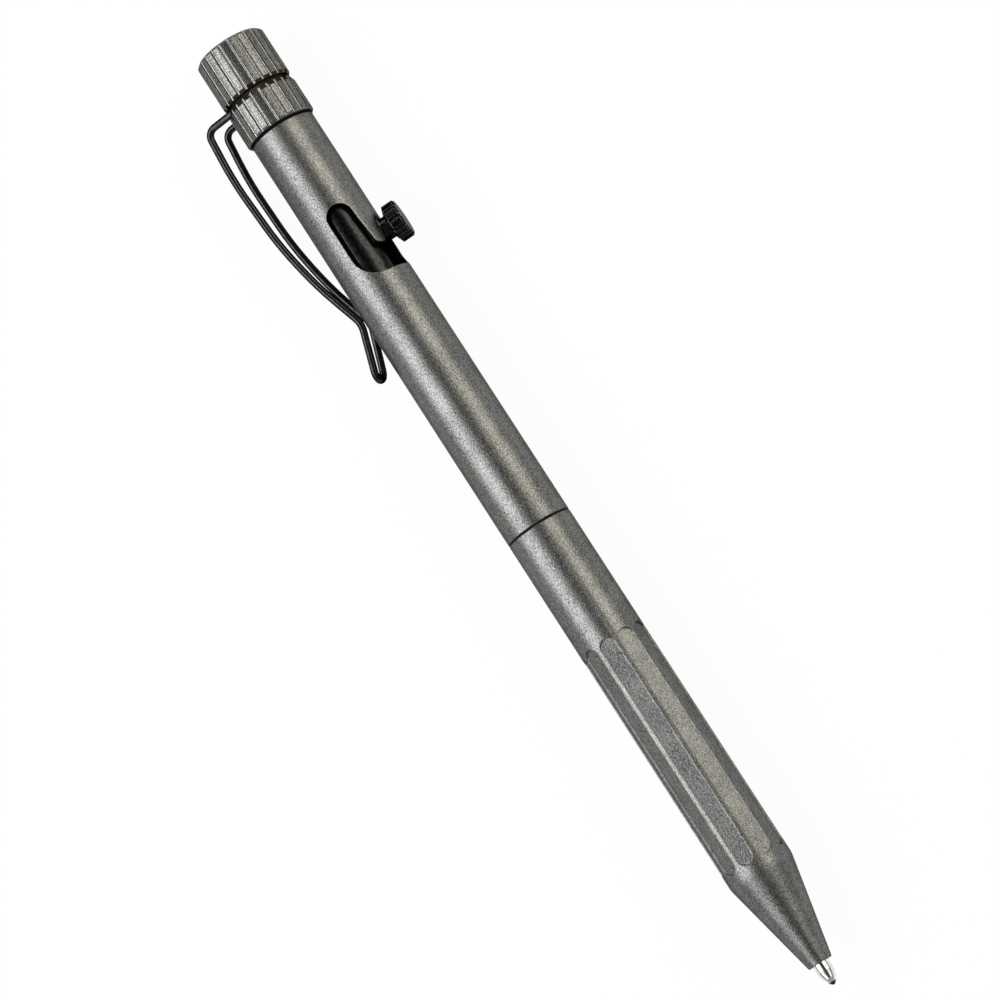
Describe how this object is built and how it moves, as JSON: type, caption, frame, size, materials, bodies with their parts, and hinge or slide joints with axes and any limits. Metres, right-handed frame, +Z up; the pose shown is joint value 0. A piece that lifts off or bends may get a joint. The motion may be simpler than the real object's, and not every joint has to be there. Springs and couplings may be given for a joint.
{
  "type": "bolt action pen",
  "caption": "Slim metal pen with a J-shaped bolt slot, side knob, screwed grip barrel, fluted cap and collar, and a bent wire pocket clip.",
  "frame": {"origin": "on the pen's axis, at the back end of the lower barrel's outside, where it meets the joint ring", "axes": "+X along the axis towards the writing tip, +Y the side on which the locked bolt stands out, +Z up as the pen lies"},
  "size_m": [0.146, 0.0168, 0.01],
  "materials": {
    "blasted_metal": "bead-blasted, gunmetal grey, fine sparkling grain",
    "black_gloss": "smooth glossy black coating",
    "black_satin": "satin dark anodised",
    "black_rubber": "matt",
    "bright_steel": "drawn and polished",
    "black_plastic": "moulded",
    "brass": "turned",
    "nickel_silver": "turned and polished",
    "hard_ball": "ground",
    "ink": "black paste",
    "grease": "clear grease"
  },
  "bodies": {
    "body": {"upper_barrel": "blasted_metal", "clip_collar": "blasted_metal", "collar_gasket": "black_rubber"},
    "cap_ring": {"cap_washer": "black_rubber"},
    "cap": {"tail_cap": "blasted_metal", "cap_stud": "bright_steel"},
    "clip": {"pocket_clip": "black_gloss"},
    "front_ring": {"joint_ring": "black_rubber"},
    "front": {"lower_barrel": "blasted_metal", "return_spring": "bright_steel"},
    "bolt": {"bolt_knob": "black_gloss", "bolt_slider": "black_satin", "refill_tube": "bright_steel", "refill_crown": "black_plastic", "refill_socket": "brass", "refill_tip": "nickel_silver", "ink_column": "ink", "ink_follower": "grease"},
    "ball": {"writing_ball": "hard_ball"}
  },
  "joints": [
    {"name": "bolt_push", "type": "slide", "parent": "body", "child": "bolt", "axis": [1, 0, 0], "range_m": [0, 0.00392], "stiffness_N_per_m": 550, "springref_m": -0.004, "deforming": ["return_spring"]},
    {"name": "ball_roll", "type": "hinge", "parent": "bolt", "child": "ball", "pos_m": [0.06905, 0, 0], "axis": [0, 1, 0], "continuous": true},
    {"name": "cap_lift", "type": "slide", "parent": "body", "child": "cap_ring", "axis": [-1, 0, 0], "range_m": [0, 0.0063]},
    {"name": "cap_turn", "type": "hinge", "parent": "cap_ring", "child": "cap", "pos_m": [-0.0729, 0, 0], "axis": [-1, 0, 0], "range_deg": [0, 3241]},
    {"name": "front_out", "type": "slide", "parent": "body", "child": "front_ring", "axis": [1, 0, 0], "range_m": [0, 0.006]},
    {"name": "front_turn", "type": "hinge", "parent": "front_ring", "child": "front", "pos_m": [0, 0, 0], "axis": [1, 0, 0], "range_deg": [0, 2881]},
    {"name": "clip_flex", "type": "hinge", "parent": "body", "child": "clip", "pos_m": [-0.06858, -0.00463, -0.00107], "axis": [0, 0.225, -0.9744], "range_deg": [0, 3], "stiffness_Nm_per_rad": 2.9}
  ],
  "couplings": [
    {"joint": "cap_turn", "follows": "cap_lift", "rad_per_m": 8976},
    {"joint": "front_turn", "follows": "front_out", "rad_per_m": 8377.6}
  ]
}
